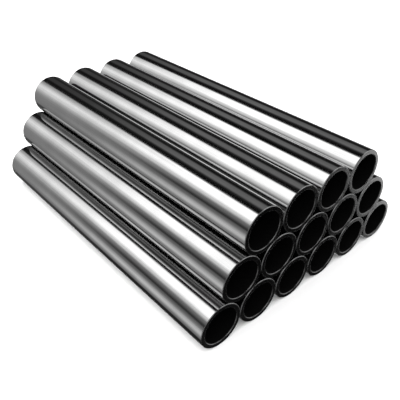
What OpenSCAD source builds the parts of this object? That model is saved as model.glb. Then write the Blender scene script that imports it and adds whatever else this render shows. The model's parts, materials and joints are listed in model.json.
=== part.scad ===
// Stack of round steel tubes, cut to one length and piled in nested rows.
// Each row has one tube fewer than the row below and lies in the hollows between its tubes.
// The tubes run along Y, +Z is up, and the origin is on the floor at the middle of the stack.

/* [Tube] */
// Outside diameter of a tube
tube_od = 127; // [60:0.1:250]
// Wall thickness of a tube
tube_wall = 12.5; // [6:0.1:25]
// Cut length of a tube
tube_length = 1000; // [300:5:3000]
// Deburred corner on the outside edge of a cut end
outer_chamfer = 1.5; // [0.3:0.1:2.5]
// Deburred corner on the bore edge of a cut end
bore_chamfer = 1.5; // [0.3:0.1:2.5]

/* [Stack] */
// Tubes in the bottom row
bottom_count = 6; // [3:1:8]
// Running gap between neighbouring tubes, which rest on each other
tube_gap = 0.2; // [0.1:0.05:0.5]

/* [Hidden] */
// Facets on the round faces
$fn = 128;
// Names of the rows, from the floor upwards
ROW_NAMES = ["bottom", "middle", "top"];
last_row = len(ROW_NAMES) - 1;

outer_r = tube_od / 2;
bore_r = outer_r - tube_wall;
// Distance between the axes of tubes that rest on each other
tube_pitch = tube_od + tube_gap;
// Height of one row's axes over those of the row below, with each tube in a hollow
row_rise = sqrt(pow(tube_pitch, 2) - pow(tube_pitch / 2, 2));

function tubes_in_row(row) = bottom_count - row;
function last_in_row(row) = tubes_in_row(row) - 1;
function tube_name(row, i) = str(ROW_NAMES[row], "_tube_", i + 1);
function tube_x(row, i) = (i - last_in_row(row) / 2) * tube_pitch;
function tube_z(row) = outer_r + row * row_rise;

// Half of the tube's lengthwise section: the wall, with its four corners deburred
module wall_section() {
    end_y = tube_length / 2;
    polygon([
        [bore_r, -end_y + bore_chamfer],
        [bore_r + bore_chamfer, -end_y],
        [outer_r - outer_chamfer, -end_y],
        [outer_r, -end_y + outer_chamfer],
        [outer_r, end_y - outer_chamfer],
        [outer_r - outer_chamfer, end_y],
        [bore_r + bore_chamfer, end_y],
        [bore_r, end_y - bore_chamfer],
    ]);
}

// One tube, turned about its axis and laid along Y
module tube() {
    color([0.56, 0.57, 0.58]) rotate([-90, 0, 0]) rotate_extrude() wall_section();
}

// The tube at place i of a row, counted from the -X side
module stacked_tube(row, i) {
    translate([tube_x(row, i), 0, tube_z(row)]) tube();
}

for (row = [0 : last_row]) for (i = [0 : last_in_row(row)])
    stacked_tube(row, i);
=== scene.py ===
"""Looks of a stack of bright drawn steel tubes and the studio that it is shown in.

Each tube is a wall outline turned about the tube's own axis, where the tube's CAD node lies.
Lengths are in metres, the tubes run along Y and +Z is up.
"""

import json
import math

import bpy
import numpy as np
from bpy.props import FloatProperty, FloatVectorProperty, IntProperty, PointerProperty
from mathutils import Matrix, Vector


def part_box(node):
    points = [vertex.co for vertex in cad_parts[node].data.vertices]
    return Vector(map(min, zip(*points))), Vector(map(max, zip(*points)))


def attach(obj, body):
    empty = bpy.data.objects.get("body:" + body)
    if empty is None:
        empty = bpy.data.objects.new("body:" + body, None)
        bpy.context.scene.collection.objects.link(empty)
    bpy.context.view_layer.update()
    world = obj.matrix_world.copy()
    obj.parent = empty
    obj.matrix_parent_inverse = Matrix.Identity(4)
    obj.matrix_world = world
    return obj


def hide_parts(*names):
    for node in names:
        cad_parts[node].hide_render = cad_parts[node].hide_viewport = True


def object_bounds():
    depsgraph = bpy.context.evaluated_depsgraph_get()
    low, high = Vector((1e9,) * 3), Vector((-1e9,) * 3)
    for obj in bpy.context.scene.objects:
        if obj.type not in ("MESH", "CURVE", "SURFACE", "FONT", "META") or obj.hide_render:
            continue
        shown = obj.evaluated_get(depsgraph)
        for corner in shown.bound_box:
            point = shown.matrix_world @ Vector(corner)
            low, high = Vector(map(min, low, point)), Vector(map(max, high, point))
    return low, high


bl_info = {
    "name": "Steel Tube Stack",
    "version": (1, 0, 0),
    "blender": (4, 5, 0),
    "location": "View3D > Sidebar > Tube Stack",
    "description": "Finishes the tubes of a steel tube stack and sets up its studio",
    "category": "Add Mesh",
}

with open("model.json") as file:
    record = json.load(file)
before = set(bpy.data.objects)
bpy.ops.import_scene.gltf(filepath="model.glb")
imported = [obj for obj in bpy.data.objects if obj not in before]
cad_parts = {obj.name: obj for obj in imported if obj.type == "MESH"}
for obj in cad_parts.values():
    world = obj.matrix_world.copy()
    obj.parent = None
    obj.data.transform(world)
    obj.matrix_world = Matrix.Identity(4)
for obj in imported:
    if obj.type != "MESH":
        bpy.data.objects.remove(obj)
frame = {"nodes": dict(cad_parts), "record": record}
CAD_BOX = [list(corner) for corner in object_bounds()]
MM = 0.001

# Sizes that the tubes share, read from the frame
BORE_DIMS = next(mount for mount in frame["record"]["mounts"] if mount["kind"] == "bore")["dims"]
BORE_RADIUS = BORE_DIMS["r_mm"] * MM
TUBE_LENGTH = CAD_BOX[1][1] - CAD_BOX[0][1]
CHAMFER = (TUBE_LENGTH - BORE_DIMS["length_mm"] * MM) / 2


def linear(hex_colour):
    """Linear RGB of an sRGB hex colour such as #8090a0.

    A share c becomes c / 12.92 up to 0.04045 and ((c + 0.055) / 1.055) ^ 2.4 above it.
    """
    shares = np.array([int(hex_colour[i:i + 2], 16) / 255 for i in (1, 3, 5)])
    return tuple(np.where(shares <= 0.04045, shares / 12.92, ((shares + 0.055) / 1.055) ** 2.4).tolist())


class TubeShape(bpy.types.PropertyGroup):
    """Sizes of the tubes' wall and ends."""

    bore_radius: FloatProperty(
        name="Bore Radius", description="Inside radius of a tube",
        default=BORE_RADIUS, min=0.001, unit="LENGTH", precision=4,
    )
    chamfer: FloatProperty(
        name="Deburred Corner", description="Width of the deburred corners on a cut end",
        default=CHAMFER, min=0.0003, unit="LENGTH", precision=4,
    )
    edge_radius: FloatProperty(
        name="Edge Radius", description="Rounding where two faces of the wall meet",
        default=0.8 * MM, min=0.0001, unit="LENGTH", precision=4,
    )
    edge_support: FloatProperty(
        name="Edge Support",
        description="Distance from a rounding to the ring that keeps the next face straight",
        default=0.3 * MM, min=0.0001, unit="LENGTH", precision=4,
    )
    # Clearance at which the shade painted into the crevice between two tubes fades out
    contact_gap: FloatProperty(
        name="Contact Gap",
        description="Clearance to the next tube below which the painted crevice shade shows",
        default=6.0 * MM, min=0.0001, unit="LENGTH", precision=4,
    )
    edge_steps: IntProperty(
        name="Edge Steps", description="Faces across one rounded edge", default=4, min=1, max=12,
    )
    round_steps: IntProperty(
        name="Round Steps", description="Faces once round a tube", default=160, min=24, max=512,
    )


class SteelFinish(bpy.types.PropertyGroup):
    """Colours and surface patterns of the steel."""

    steel_colour: FloatVectorProperty(
        name="Drawn Steel", description="Colour of the drawn outside", subtype="COLOR",
        default=linear("#a8a8a8"), min=0, max=1,
    )
    film_colour: FloatVectorProperty(
        name="Oil Film", description="Colour of the drawn steel under its thin oil film", subtype="COLOR",
        default=linear("#989898"), min=0, max=1,
    )
    # Painted shade: near-black colour painted into the crevices where the tubes touch
    crevice_shade_colour: FloatVectorProperty(
        name="Contact Line", description="Near-black colour of the shade painted between touching tubes",
        subtype="COLOR", default=linear("#1c1c1c"), min=0, max=1,
    )
    steel_roughness: FloatProperty(
        name="Drawn Roughness", description="Roughness of the drawn outside", subtype="FACTOR",
        default=0.09, min=0, max=1,
    )
    line_pitch: FloatProperty(
        name="Draw Line Pitch", description="Distance between the lines that the die leaves",
        default=3.0 * MM, min=0.0001, unit="LENGTH", precision=4,
    )
    line_length: FloatProperty(
        name="Draw Line Length", description="Length over which a draw line fades",
        default=0.6, min=0.001, unit="LENGTH",
    )
    film_size: FloatProperty(
        name="Film Patch Size", description="Size of the patches of oil film",
        default=0.09, min=0.001, unit="LENGTH",
    )
    cut_colour: FloatVectorProperty(
        name="Cut End", description="Colour of the faced end", subtype="COLOR",
        default=linear("#6e6e6e"), min=0, max=1,
    )
    cut_roughness: FloatProperty(
        name="Cut Roughness", description="Roughness of the faced end", subtype="FACTOR",
        default=0.14, min=0, max=1,
    )
    stain_size: FloatProperty(
        name="Stain Size", description="Size of the faint stains on the faced end",
        default=14 * MM, min=0.0001, unit="LENGTH", precision=4,
    )
    facing_pitch: FloatProperty(
        name="Facing Line Pitch", description="Distance between the rings that the facing tool leaves",
        default=1.2 * MM, min=0.0001, unit="LENGTH", precision=4,
    )
    edge_colour: FloatVectorProperty(
        name="Deburred Edge", description="Colour of the deburred outer corners", subtype="COLOR",
        default=linear("#707070"), min=0, max=1,
    )
    bore_edge_colour: FloatVectorProperty(
        name="Deburred Bore Edge", description="Colour of the deburred bore corners, which keep some oxide",
        subtype="COLOR", default=linear("#5c5c5c"), min=0, max=1,
    )
    edge_roughness: FloatProperty(
        name="Edge Roughness", description="Roughness of the deburred corners", subtype="FACTOR",
        default=0.27, min=0, max=1,
    )
    scuff_size: FloatProperty(
        name="Scuff Size", description="Size of the scuffs on the deburred corners",
        default=5 * MM, min=0.0001, unit="LENGTH", precision=4,
    )
    # Partly painted shade: the dark oxide colour is taken down to near black to stand for the shade inside
    # the bore
    bore_oxide_and_shade_colour: FloatVectorProperty(
        name="Bore", description="Near-black colour of the bore: its oxide and painted shade", subtype="COLOR",
        default=linear("#040404"), min=0, max=1,
    )
    bore_roughness: FloatProperty(
        name="Bore Roughness", description="Roughness of the oxide in the bore", subtype="FACTOR",
        default=0.65, min=0, max=1,
    )
    oxide_size: FloatProperty(
        name="Oxide Patch Size", description="Size of the patches of oxide in the bore",
        default=8 * MM, min=0.0001, unit="LENGTH", precision=4,
    )


class StudioStage(bpy.types.PropertyGroup):
    """Floor, light and camera of the studio."""

    floor_colour: FloatVectorProperty(
        name="Floor", description="Colour of the floor", subtype="COLOR",
        default=linear("#eeeeee"), min=0, max=1,
    )
    floor_radius: FloatProperty(
        name="Floor Radius", description="Radius of the round floor", default=40, min=1, unit="LENGTH",
    )
    softbox_strength: FloatProperty(
        name="Softbox Strength", description="Brightness of the long softbox over the stack",
        default=3.0, min=0,
    )
    fill_strength: FloatProperty(
        name="Fill Strength", description="Strength of the soft light that whitens the floor",
        default=2.0, min=0,
    )
    fill_spread: FloatProperty(
        name="Fill Spread", description="Angle over which the soft light comes down", subtype="ANGLE",
        default=math.radians(110), min=0, max=math.pi,
    )
    camera_azimuth: FloatProperty(
        name="Camera Azimuth", description="Turn of the camera about the stack", subtype="ANGLE",
        default=math.radians(-41),
    )
    camera_elevation: FloatProperty(
        name="Camera Elevation", description="Height of the camera as an angle", subtype="ANGLE",
        default=math.radians(35),
    )
    camera_distance: FloatProperty(
        name="Camera Distance", description="Distance from the camera to its aim",
        default=1.654, min=0.1, unit="LENGTH",
    )
    camera_aim: FloatVectorProperty(
        name="Camera Aim", description="Point in the middle of the picture", subtype="TRANSLATION",
        default=(-0.017, -0.077, 0.066),
    )
    camera_lens: FloatProperty(
        name="Lens", description="Focal length of the camera in millimetres",
        default=46.9, min=10, unit="CAMERA",
    )


# Spans that the values of one noise texture, and of two added together, seldom leave
NOISE_SPAN = {"From Min": 0.3, "From Max": 0.7}
TWO_NOISES_SPAN = {"From Min": 0.7, "From Max": 1.3}
# Places of a Mix node's colour sockets, because its other sockets have the same names
MIX_A = 6
MIX_B = 7
MIX_RESULT = 2


def add_node(tree, kind, settings=None, links=None):
    """Adds a node to a tree, sets its properties and sockets, and links its inputs to outputs.

    A socket goes by its name, or by its place where several have the same name.
    """
    node = tree.nodes.new(kind)
    for name, value in (settings or {}).items():
        if isinstance(name, str) and hasattr(node, name):
            setattr(node, name, value)
        else:
            node.inputs[name].default_value = value
    for name, output in (links or {}).items():
        tree.links.new(output, node.inputs[name])
    return node


def new_material(name):
    """A new material with an empty node tree, and that tree."""
    material = bpy.data.materials.new(name)
    material.use_nodes = True
    material.node_tree.nodes.clear()
    return material, material.node_tree


# How far the draw lines change the drawn steel's roughness, and what oil film and the painted crevice shade
# add to it
LINE_ROUGHNESS = (-0.015, 0.025)
FILM_ROUGHNESS = 0.025
CREVICE_SHADE_ROUGHNESS = 0.25
# How much the film's patches break up the painted crevice shade, and the span over which that shade sets in
CREVICE_SHADE_UNEVENNESS = 0.4
CREVICE_SHADE_SPAN = {"From Min": 0.3, "From Max": 0.9}
# Relief of the draw lines
LINE_RELIEF = {"Strength": 0.04, "Distance": 0.1 * MM}


# Bright drawn steel: pulled cold through a polished die, so it is a near mirror whose reflections
# are streaked by hair lines along the tube and dulled in patches by a thin film of oil. Where two
# tubes touch, a near-black colour is painted on as shade in the crevice between them. Real draw
# lines are about 0.1 mm apart; they are drawn coarser so that they show.
def bright_drawn_steel(finish):
    material, tree = new_material("bright_drawn_steel")
    place = add_node(tree, "ShaderNodeTexCoord").outputs["Object"]
    across = 1 / finish.line_pitch
    along = 1 / finish.line_length
    stretched = add_node(tree, "ShaderNodeMapping", {"Scale": (across, along, across)}, {"Vector": place})
    lines = add_node(
        tree, "ShaderNodeTexNoise", {"Scale": 1.0, "Detail": 3.0, "Roughness": 0.6},
        {"Vector": stretched.outputs["Vector"]},
    )
    film = add_node(
        tree, "ShaderNodeTexNoise", {"Scale": 1 / finish.film_size, "Detail": 4.0, "Roughness": 0.55},
        {"Vector": place},
    )
    patches = add_node(
        tree, "ShaderNodeMath", {"operation": "ADD"}, {0: film.outputs["Fac"], 1: lines.outputs["Fac"]},
    )
    filmed = add_node(tree, "ShaderNodeMapRange", TWO_NOISES_SPAN, {"Value": patches.outputs["Value"]})
    clean = add_node(
        tree, "ShaderNodeMix",
        {"data_type": "RGBA", MIX_A: (*finish.steel_colour, 1), MIX_B: (*finish.film_colour, 1)},
        {"Factor": filmed.outputs["Result"]},
    )
    # Painted shade: a near-black colour is mixed in where the next tube lies close, darkening the crevice
    # between tubes
    touch = add_node(tree, "ShaderNodeAttribute", {"attribute_name": "touch"})
    uneven = add_node(
        tree, "ShaderNodeMath", {"operation": "MULTIPLY_ADD", 1: CREVICE_SHADE_UNEVENNESS},
        {0: film.outputs["Fac"], 2: touch.outputs["Fac"]},
    )
    crevice_shade = add_node(
        tree, "ShaderNodeMapRange", {"interpolation_type": "SMOOTHSTEP", **CREVICE_SHADE_SPAN},
        {"Value": uneven.outputs["Value"]},
    )
    colour = add_node(
        tree, "ShaderNodeMix", {"data_type": "RGBA", MIX_B: (*finish.crevice_shade_colour, 1)},
        {"Factor": crevice_shade.outputs["Result"], MIX_A: clean.outputs[MIX_RESULT]},
    )
    smooth, rough = (finish.steel_roughness + change for change in LINE_ROUGHNESS)
    streaks = add_node(
        tree, "ShaderNodeMapRange", {**NOISE_SPAN, "To Min": smooth, "To Max": rough},
        {"Value": lines.outputs["Fac"]},
    )
    dulled = add_node(
        tree, "ShaderNodeMath", {"operation": "MULTIPLY_ADD", 1: FILM_ROUGHNESS},
        {0: filmed.outputs["Result"], 2: streaks.outputs["Result"]},
    )
    roughness = add_node(
        tree, "ShaderNodeMath", {"operation": "MULTIPLY_ADD", 1: CREVICE_SHADE_ROUGHNESS},
        {0: crevice_shade.outputs["Result"], 2: dulled.outputs["Value"]},
    )
    bump = add_node(tree, "ShaderNodeBump", LINE_RELIEF, {"Height": lines.outputs["Fac"]})
    steel = add_node(
        tree, "ShaderNodeBsdfPrincipled", {"Metallic": 1.0},
        {
            "Base Color": colour.outputs[MIX_RESULT],
            "Roughness": roughness.outputs["Value"],
            "Normal": bump.outputs["Normal"],
        },
    )
    add_node(tree, "ShaderNodeOutputMaterial", links={"Surface": steel.outputs["BSDF"]})
    return material


# How far the facing rings change the cut end's roughness
RING_ROUGHNESS = (-0.05, 0.08)
# Relief of the facing rings
RING_RELIEF = {"Strength": 0.25, "Distance": 0.2 * MM}
# Share of the cut end's colour that is left under a stain
STAIN_SHARE = 0.72


# Machine-cut end: faced square across the wall, so it is a grey satin ring with fine turned lines
# that run round it. The lines follow the radius that is kept on the tube's points. Real facing
# lines are about 0.2 mm apart; they are drawn coarser so that they show.
def machine_cut_end(finish):
    material, tree = new_material("machine_cut_end")
    radius = add_node(tree, "ShaderNodeAttribute", {"attribute_name": "radius"}).outputs["Fac"]
    count = add_node(tree, "ShaderNodeMath", {"operation": "DIVIDE", 1: finish.facing_pitch}, {0: radius})
    rings = add_node(
        tree, "ShaderNodeTexNoise", {"noise_dimensions": "1D", "Scale": 1.0, "Detail": 2.0},
        {"W": count.outputs["Value"]},
    )
    place = add_node(tree, "ShaderNodeTexCoord").outputs["Object"]
    stain = add_node(
        tree, "ShaderNodeTexNoise", {"Scale": 1 / finish.stain_size, "Detail": 4.0}, {"Vector": place},
    )
    stained = [STAIN_SHARE * share for share in finish.cut_colour]
    colour = add_node(
        tree, "ShaderNodeMix",
        {"data_type": "RGBA", MIX_A: (*finish.cut_colour, 1), MIX_B: (*stained, 1)},
        {"Factor": stain.outputs["Fac"]},
    )
    smooth, rough = (finish.cut_roughness + change for change in RING_ROUGHNESS)
    roughness = add_node(
        tree, "ShaderNodeMapRange", {**NOISE_SPAN, "To Min": smooth, "To Max": rough},
        {"Value": rings.outputs["Fac"]},
    )
    bump = add_node(tree, "ShaderNodeBump", RING_RELIEF, {"Height": rings.outputs["Fac"]})
    steel = add_node(
        tree, "ShaderNodeBsdfPrincipled", {"Metallic": 1.0},
        {
            "Base Color": colour.outputs[MIX_RESULT],
            "Roughness": roughness.outputs["Result"],
            "Normal": bump.outputs["Normal"],
        },
    )
    add_node(tree, "ShaderNodeOutputMaterial", links={"Surface": steel.outputs["BSDF"]})
    return material


# How far the scuffs change the deburred edge's roughness
SCUFF_ROUGHNESS = (-0.07, 0.07)


# Deburred edge: brushed bright by the deburring tool, so it catches the light as a thin line. At the
# bore some oxide stays on it, so that line is fainter.
def deburred_edge(finish, shape):
    material, tree = new_material("deburred_edge")
    radius = add_node(tree, "ShaderNodeAttribute", {"attribute_name": "radius"}).outputs["Fac"]
    past_bore = shape.bore_radius + 2 * shape.chamfer
    outside = add_node(tree, "ShaderNodeMath", {"operation": "GREATER_THAN", 1: past_bore}, {0: radius})
    colour = add_node(
        tree, "ShaderNodeMix",
        {"data_type": "RGBA", MIX_A: (*finish.bore_edge_colour, 1), MIX_B: (*finish.edge_colour, 1)},
        {"Factor": outside.outputs["Value"]},
    )
    place = add_node(tree, "ShaderNodeTexCoord").outputs["Object"]
    scuffs = add_node(
        tree, "ShaderNodeTexNoise", {"Scale": 1 / finish.scuff_size, "Detail": 3.0}, {"Vector": place},
    )
    smooth, rough = (finish.edge_roughness + change for change in SCUFF_ROUGHNESS)
    roughness = add_node(
        tree, "ShaderNodeMapRange", {**NOISE_SPAN, "To Min": smooth, "To Max": rough},
        {"Value": scuffs.outputs["Fac"]},
    )
    steel = add_node(
        tree, "ShaderNodeBsdfPrincipled", {"Metallic": 1.0},
        {"Base Color": colour.outputs[MIX_RESULT], "Roughness": roughness.outputs["Result"]},
    )
    add_node(tree, "ShaderNodeOutputMaterial", links={"Surface": steel.outputs["BSDF"]})
    return material


# How far its patches change the oxide's roughness
OXIDE_ROUGHNESS = (-0.10, 0.10)
# Relief of the oxide
OXIDE_RELIEF = {"Strength": 0.3, "Distance": 0.3 * MM}
# Share of the bore's colour in its darkest patches, and how little of a highlight the oxide gives
OXIDE_SHARE = 0.5
OXIDE_HIGHLIGHT = 0.07


# Oxidised bore: left as the hot mill made it, so it is a matt black skin that swallows the light; its
# near-black colour also paints the shade deep inside the bore.
def oxide_and_shade_bore(finish):
    material, tree = new_material("oxide_and_shade_bore")
    place = add_node(tree, "ShaderNodeTexCoord").outputs["Object"]
    patches = add_node(
        tree, "ShaderNodeTexNoise", {"Scale": 1 / finish.oxide_size, "Detail": 4.0}, {"Vector": place},
    )
    dark = [OXIDE_SHARE * share for share in finish.bore_oxide_and_shade_colour]
    colour = add_node(
        tree, "ShaderNodeMix",
        {"data_type": "RGBA", MIX_A: (*finish.bore_oxide_and_shade_colour, 1), MIX_B: (*dark, 1)},
        {"Factor": patches.outputs["Fac"]},
    )
    smooth, rough = (finish.bore_roughness + change for change in OXIDE_ROUGHNESS)
    roughness = add_node(
        tree, "ShaderNodeMapRange", {**NOISE_SPAN, "To Min": smooth, "To Max": rough},
        {"Value": patches.outputs["Fac"]},
    )
    bump = add_node(tree, "ShaderNodeBump", OXIDE_RELIEF, {"Height": patches.outputs["Fac"]})
    oxide = add_node(
        tree, "ShaderNodeBsdfPrincipled", {"Metallic": 0.0, "Specular IOR Level": OXIDE_HIGHLIGHT},
        {
            "Base Color": colour.outputs[MIX_RESULT],
            "Roughness": roughness.outputs["Result"],
            "Normal": bump.outputs["Normal"],
        },
    )
    add_node(tree, "ShaderNodeOutputMaterial", links={"Surface": oxide.outputs["BSDF"]})
    return material


def pale_floor(stage):
    """Material of the plain matt floor."""
    material, tree = new_material("pale_matt_floor")
    paint = add_node(tree, "ShaderNodeBsdfDiffuse", {"Color": (*stage.floor_colour, 1)})
    add_node(tree, "ShaderNodeOutputMaterial", links={"Surface": paint.outputs["BSDF"]})
    return material


# Angle by which the wall's outline turns at each of its corners
CORNER_TURN = math.pi / 4
# Share of the edge radius within which a ring of faces counts as lying on a side of the wall
NEAR_SHARE = 0.01
# Material slots of a tube, one for each side of its wall
DRAWN_SLOT, BORE_SLOT, CUT_SLOT, EDGE_SLOT = range(4)


def wall_outline(outer_radius, half_length, shape):
    """Closed outline of the wall's lengthwise section as rows of (radius, y).

    The eight corners are the four ends of the wall's outside and bore, each split by its deburred corner.
    A corner C with its sides' directions d in and d out becomes the curve
    (1-t)^2 A + 2t(1-t) C + t^2 B with A = C - reach d in and B = C + reach d out,
    where reach is the edge radius times the tangent of half the turn at the corner.
    A supporting point stands before A and after B.
    """
    bore = shape.bore_radius
    cut = shape.chamfer
    corners = np.array([
        (outer_radius, cut - half_length),
        (outer_radius, half_length - cut),
        (outer_radius - cut, half_length),
        (bore + cut, half_length),
        (bore, half_length - cut),
        (bore, cut - half_length),
        (bore + cut, -half_length),
        (outer_radius - cut, -half_length),
    ])
    sides = np.roll(corners, -1, axis=0) - corners
    after = sides / np.linalg.norm(sides, axis=1, keepdims=True)
    before = np.roll(after, 1, axis=0)
    reach = shape.edge_radius * math.tan(CORNER_TURN / 2)
    start = corners - reach * before
    end = corners + reach * after
    t = np.linspace(0, 1, shape.edge_steps + 1)[:, None, None]
    curve = (1 - t) ** 2 * start + 2 * t * (1 - t) * corners + t ** 2 * end
    first = start - shape.edge_support * before
    last = end + shape.edge_support * after
    rounded = np.concatenate([first[None], curve, last[None]])
    return rounded.transpose(1, 0, 2).reshape(-1, 2)


def keep_on_points(mesh, name, values):
    """Keeps one number per point of a mesh as an attribute that materials read."""
    kept = mesh.attributes.new(name, "FLOAT", "POINT")
    kept.data.foreach_set("value", values.astype(np.float32))


def turned_mesh(name, outline, axis_x, middle_y, axis_z, round_steps):
    """Surface of revolution of a closed outline about a line along Y.

    Point (i, j) is axis + radius_i (cos a_j, 0, sin a_j) + (0, y_i, 0), with a_j evenly round the circle.
    Both directions close on themselves, so the mesh has no seam and no open edge.
    """
    angles = np.linspace(0, 2 * math.pi, round_steps, endpoint=False)
    radius = outline[:, :1]
    points = np.empty((len(outline), round_steps, 3))
    points[:, :, 0] = axis_x + radius * np.cos(angles)
    points[:, :, 1] = middle_y + outline[:, 1:]
    points[:, :, 2] = axis_z + radius * np.sin(angles)
    index = np.arange(len(outline) * round_steps).reshape(len(outline), round_steps)
    onward = np.roll(index, -1, axis=0)
    corners = [index, onward, np.roll(onward, -1, axis=1), np.roll(index, -1, axis=1)]
    faces = np.stack(corners, axis=-1).reshape(-1, 4)
    mesh = bpy.data.meshes.new(name)
    mesh.from_pydata(points.reshape(-1, 3), [], faces)
    mesh.polygons.foreach_set("use_smooth", np.ones(len(faces), dtype=bool))
    keep_on_points(mesh, "radius", np.repeat(radius, round_steps))
    return mesh


def touch_shares(middle, other_middles, outer_radius, shape):
    """How closely the next tube lies at each angle round a tube.

    At the angle d from the way to a tube of the same radius R, whose axis is D away, the two stand
    D - 2R cos d apart. The share falls from 1 where they touch to 0 at the contact gap.
    """
    angles = np.linspace(0, 2 * math.pi, shape.round_steps, endpoint=False)
    steps = (other_middles - middle)[:, [0, 2]]
    toward = np.arctan2(steps[:, 1], steps[:, 0])
    turns = angles[:, None] - toward
    clearance = np.linalg.norm(steps, axis=1) - 2 * outer_radius * np.cos(turns)
    return np.clip(1 - clearance.min(axis=1) / shape.contact_gap, 0, 1)


def paint_wall(mesh, outline, outer_radius, half_length, shape):
    """Gives each ring of faces the material of its side of the wall.

    A ring on the outer radius is drawn steel, on the bore radius oxide and on an end's plane a cut end;
    the rings between them are the deburred edges.
    """
    middle = (outline + np.roll(outline, -1, axis=0)) / 2
    near = NEAR_SHARE * shape.edge_radius
    sides = [
        np.abs(middle[:, 0] - outer_radius) < near,
        np.abs(middle[:, 0] - shape.bore_radius) < near,
        np.abs(np.abs(middle[:, 1]) - half_length) < near,
    ]
    slots = np.select(sides, [DRAWN_SLOT, BORE_SLOT, CUT_SLOT], default=EDGE_SLOT)
    mesh.polygons.foreach_set("material_index", np.repeat(slots, shape.round_steps).astype(np.int32))


class TUBESTACK_OT_lay_tubes(bpy.types.Operator):
    """Makes the finished tubes, each in the place of its CAD node"""

    bl_idname = "tube_stack.lay_tubes"
    bl_label = "Lay Tubes"

    def execute(self, context):
        shape = context.scene.tube_shape
        finish = context.scene.steel_finish
        materials = {
            DRAWN_SLOT: bright_drawn_steel(finish),
            BORE_SLOT: oxide_and_shade_bore(finish),
            CUT_SLOT: machine_cut_end(finish),
            EDGE_SLOT: deburred_edge(finish, shape),
        }
        boxes = {node: np.array(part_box(node)) for node in frame["nodes"]}
        middles = {node: box.mean(axis=0) for node, box in boxes.items()}
        for node, (low, high) in boxes.items():
            middle = middles[node]
            others = np.array([middles[name] for name in boxes if name != node])
            outer_radius = (high[2] - low[2]) / 2
            half_length = (high[1] - low[1]) / 2
            outline = wall_outline(outer_radius, half_length, shape)
            mesh = turned_mesh(node + "_finish", outline, *middle, shape.round_steps)
            for slot in sorted(materials):
                mesh.materials.append(materials[slot])
            paint_wall(mesh, outline, outer_radius, half_length, shape)
            # The touch share is the mask of the shade painted into the crevices
            touch = touch_shares(middle, others, outer_radius, shape)
            keep_on_points(mesh, "touch", np.tile(touch, len(outline)))
            mesh.validate()
            tube = bpy.data.objects.new(node + "_finish", mesh)
            context.scene.collection.objects.link(tube)
            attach(tube, "root")
            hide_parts(node)
        return {"FINISHED"}


# Plan of the studio dome, looking along the stack: the angle about the long axis in degrees, with 0 to
# the right, 90 straight up and 180 to the left, and the brightness in each place along the studio, as
# shares of the softbox's
DOME_PLACES = ("front", "beside", "back", "end")
DOME_PLAN = (
    (-180, 0.10, 0.10, 0.10, 0.17),       # left horizon
    (-150, 0.42, 0.42, 0.42, 0.14),       # lit floor on the left
    (-128, 0.14, 0.14, 0.14, 0.12),
    (-112, 0.006, 0.006, 0.006, 0.03),    # shade under the stack
    (-68, 0.018, 0.03, 0.03, 0.06),
    (-50, 0.006, 0.36, 0.44, 0.07),       # lit floor on the right, which ends before the front
    (-32, 0.004, 0.42, 0.30, 0.08),
    (-12, 0.10, 0.14, 0.10, 0.04),
    (2, 0.03, 0.04, 0.02, 0.03),          # right horizon
    (14, 0.02, 0.02, 0.002, 0.008),       # gap between horizon and panel
    (24, 0.25, 0.25, 0.008, 0.010),
    (38, 0.75, 0.75, 0.095, 0.024),       # panel on the right, a dim grey towards the back
    (56, 0.75, 0.75, 0.110, 0.026),
    (68, 0.08, 0.08, 0.012, 0.005),
    (75, 0.002, 0.002, 0.002, 0.005),     # black flag beside the softbox
    (88, 0.002, 0.002, 0.002, 0.008),
    (97, 1.00, 1.00, 1.00, 0.24),         # long softbox over the left shoulder
    (124, 1.00, 1.00, 1.00, 0.60),
    (138, 0.52, 0.52, 0.52, 0.56),        # its soft lower edge
    (152, 0.12, 0.12, 0.12, 0.38),
    (171, 0.02, 0.02, 0.02, 0.21),        # dark wall on the left
    (180, 0.10, 0.10, 0.10, 0.17),
)
FULL_TURN = 360
# How far a direction lies along Y, from -1 to 1, where a place begins and where it is full
FRONT_FROM = -0.15
FRONT_FULL = -0.30
BACK_FROM = 0.12
BACK_FULL = 0.35
STUDIO_END_FROM = 0.63
STUDIO_END_FULL = 0.86
# White card at the front right that lights the cut ends: the way across its edge, its brightness as a
# share of the softbox's, and how far a direction lies along that way where it begins and where it is full
CARD_WAY = (1.0, 0.3, 0.0)
CARD_SHARE = 0.58
CARD_FROM = 0.60
CARD_FULL = 0.67
# Corners of the round floor
FLOOR_STEPS = 96


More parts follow.
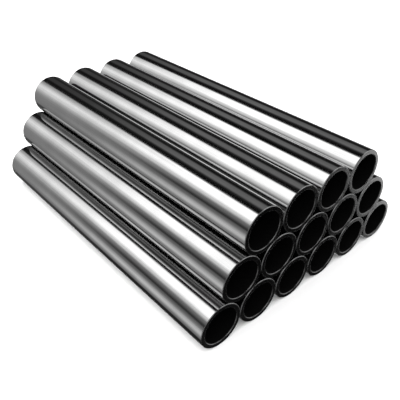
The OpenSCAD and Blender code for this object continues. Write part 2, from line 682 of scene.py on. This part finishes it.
def studio_dome(scene, stage):
    """World of a long studio tent: brightness by the angle about Y, closed at both ends, pale to the eye."""
    world = bpy.data.worlds.new("studio_dome")
    world.use_nodes = True
    tree = world.node_tree
    tree.nodes.clear()
    direction = add_node(tree, "ShaderNodeTexCoord").outputs["Generated"]
    parts = add_node(tree, "ShaderNodeSeparateXYZ", links={"Vector": direction}).outputs
    turn = add_node(tree, "ShaderNodeMath", {"operation": "ARCTAN2"}, {0: parts["Z"], 1: parts["X"]})
    place = add_node(
        tree, "ShaderNodeMapRange", {"From Min": -math.pi, "From Max": math.pi},
        {"Value": turn.outputs["Value"]},
    )
    plans = {}
    for column, name in enumerate(DOME_PLACES, start=1):
        plan = add_node(tree, "ShaderNodeValToRGB", links={"Fac": place.outputs["Result"]})
        plan.color_ramp.interpolation = "EASE"
        stops = plan.color_ramp.elements
        for i, row in enumerate(DOME_PLAN):
            position = (row[0] - DOME_PLAN[0][0]) / FULL_TURN
            stop = stops[i] if i < len(stops) else stops.new(position)
            stop.position = position
            stop.color = (row[column], row[column], row[column], 1)
        plans[name] = plan.outputs["Color"]
    endwise = add_node(tree, "ShaderNodeMath", {"operation": "ABSOLUTE"}, {0: parts["Y"]})
    along_way = add_node(
        tree, "ShaderNodeVectorMath", {"operation": "DOT_PRODUCT", 1: CARD_WAY}, {0: direction},
    )
    spans = {
        "front": (parts["Y"], FRONT_FROM, FRONT_FULL),
        "back": (parts["Y"], BACK_FROM, BACK_FULL),
        "end": (endwise.outputs["Value"], STUDIO_END_FROM, STUDIO_END_FULL),
        "card": (along_way.outputs["Value"], CARD_FROM, CARD_FULL),
    }
    within = {}
    for name, (reach, begins, full) in spans.items():
        share = add_node(
            tree, "ShaderNodeMapRange",
            {"interpolation_type": "SMOOTHSTEP", "From Min": begins, "From Max": full}, {"Value": reach},
        )
        within[name] = share.outputs["Result"]
    dome = plans["beside"]
    for name in ("front", "back", "end"):
        mixed = add_node(
            tree, "ShaderNodeMix", {"data_type": "RGBA"},
            {"Factor": within[name], MIX_A: dome, MIX_B: plans[name]},
        )
        dome = mixed.outputs[MIX_RESULT]
    on_card = add_node(
        tree, "ShaderNodeMath", {"operation": "MULTIPLY"}, {0: within["card"], 1: within["front"]},
    )
    tent = add_node(
        tree, "ShaderNodeMix", {"data_type": "RGBA", MIX_B: (CARD_SHARE, CARD_SHARE, CARD_SHARE, 1)},
        {"Factor": on_card.outputs["Value"], MIX_A: dome},
    )
    light = add_node(
        tree, "ShaderNodeBackground", {"Strength": stage.softbox_strength},
        {"Color": tent.outputs[MIX_RESULT]},
    )
    # The camera sees a white backdrop, and the tent gives light and shows only in reflections
    backdrop = add_node(tree, "ShaderNodeBackground", {"Color": (1, 1, 1, 1), "Strength": 1.0})
    seen = add_node(tree, "ShaderNodeLightPath").outputs["Is Camera Ray"]
    both = add_node(
        tree, "ShaderNodeMixShader",
        links={"Fac": seen, 1: light.outputs["Background"], 2: backdrop.outputs["Background"]},
    )
    add_node(tree, "ShaderNodeOutputWorld", links={"Surface": both.outputs["Shader"]})
    scene.world = world


def lay_floor(scene, stage):
    """Flat round floor at z = 0: one face whose corner j is radius (cos a_j, sin a_j), a_j evenly round."""
    angles = np.linspace(0, 2 * math.pi, FLOOR_STEPS, endpoint=False)
    points = np.zeros((FLOOR_STEPS, 3))
    points[:, 0] = stage.floor_radius * np.cos(angles)
    points[:, 1] = stage.floor_radius * np.sin(angles)
    mesh = bpy.data.meshes.new("floor")
    mesh.from_pydata(points, [], [tuple(range(FLOOR_STEPS))])
    mesh.materials.append(pale_floor(stage))
    floor = bpy.data.objects.new("floor", mesh)
    scene.collection.objects.link(floor)
    # The polished tubes mirror the studio dome, whose lower half stands for the floor
    floor.visible_glossy = False


def hang_fill_light(scene, stage):
    """Soft light straight from above that whitens the floor evenly and stays out of the reflections."""
    lamp = bpy.data.lights.new("fill_light", "SUN")
    lamp.angle = stage.fill_spread
    lamp.energy = stage.fill_strength
    fill = bpy.data.objects.new("fill_light", lamp)
    fill.visible_glossy = False
    scene.collection.objects.link(fill)


def place_camera(scene, stage):
    """Camera on a sphere about its aim, at the photograph's viewing angle."""
    azimuth = stage.camera_azimuth
    elevation = stage.camera_elevation
    back = Vector((
        math.sin(azimuth) * math.cos(elevation),
        -math.cos(azimuth) * math.cos(elevation),
        math.sin(elevation),
    ))
    camera = bpy.data.objects.new("camera", bpy.data.cameras.new("camera"))
    camera.data.lens = stage.camera_lens
    camera.location = Vector(stage.camera_aim) + stage.camera_distance * back
    camera.rotation_mode = "QUATERNION"
    camera.rotation_quaternion = (-back).to_track_quat("-Z", "Y")
    scene.collection.objects.link(camera)
    scene.camera = camera


class TUBESTACK_OT_set_stage(bpy.types.Operator):
    """Sets up the floor, the light and the camera"""

    bl_idname = "tube_stack.set_stage"
    bl_label = "Set Stage"

    def execute(self, context):
        scene = context.scene
        stage = scene.studio_stage
        lay_floor(scene, stage)
        studio_dome(scene, stage)
        hang_fill_light(scene, stage)
        place_camera(scene, stage)
        scene.view_settings.view_transform = "Standard"
        return {"FINISHED"}


class TUBESTACK_PT_sidebar(bpy.types.Panel):
    """Lists the settings and the steps"""

    bl_idname = "TUBESTACK_PT_sidebar"
    bl_label = "Tube Stack"
    bl_space_type = "VIEW_3D"
    bl_region_type = "UI"
    bl_category = "Tube Stack"

    def draw(self, context):
        for group in SETTINGS:
            settings = getattr(context.scene, group)
            column = self.layout.column(align=True)
            for name in settings.bl_rna.properties.keys():
                if name not in ("rna_type", "name"):
                    column.prop(settings, name)
        self.layout.operator(TUBESTACK_OT_lay_tubes.bl_idname)
        self.layout.operator(TUBESTACK_OT_set_stage.bl_idname)


SETTINGS = {"tube_shape": TubeShape, "steel_finish": SteelFinish, "studio_stage": StudioStage}
CLASSES = (*SETTINGS.values(), TUBESTACK_OT_lay_tubes, TUBESTACK_OT_set_stage, TUBESTACK_PT_sidebar)


def register():
    for cls in CLASSES:
        bpy.utils.register_class(cls)
    for group, cls in SETTINGS.items():
        setattr(bpy.types.Scene, group, PointerProperty(type=cls))


def unregister():
    for group in SETTINGS:
        delattr(bpy.types.Scene, group)
    for cls in reversed(CLASSES):
        bpy.utils.unregister_class(cls)


def main():
    register()
    bpy.ops.tube_stack.lay_tubes()
    bpy.ops.tube_stack.set_stage()


if __name__ == "__main__":
    main()
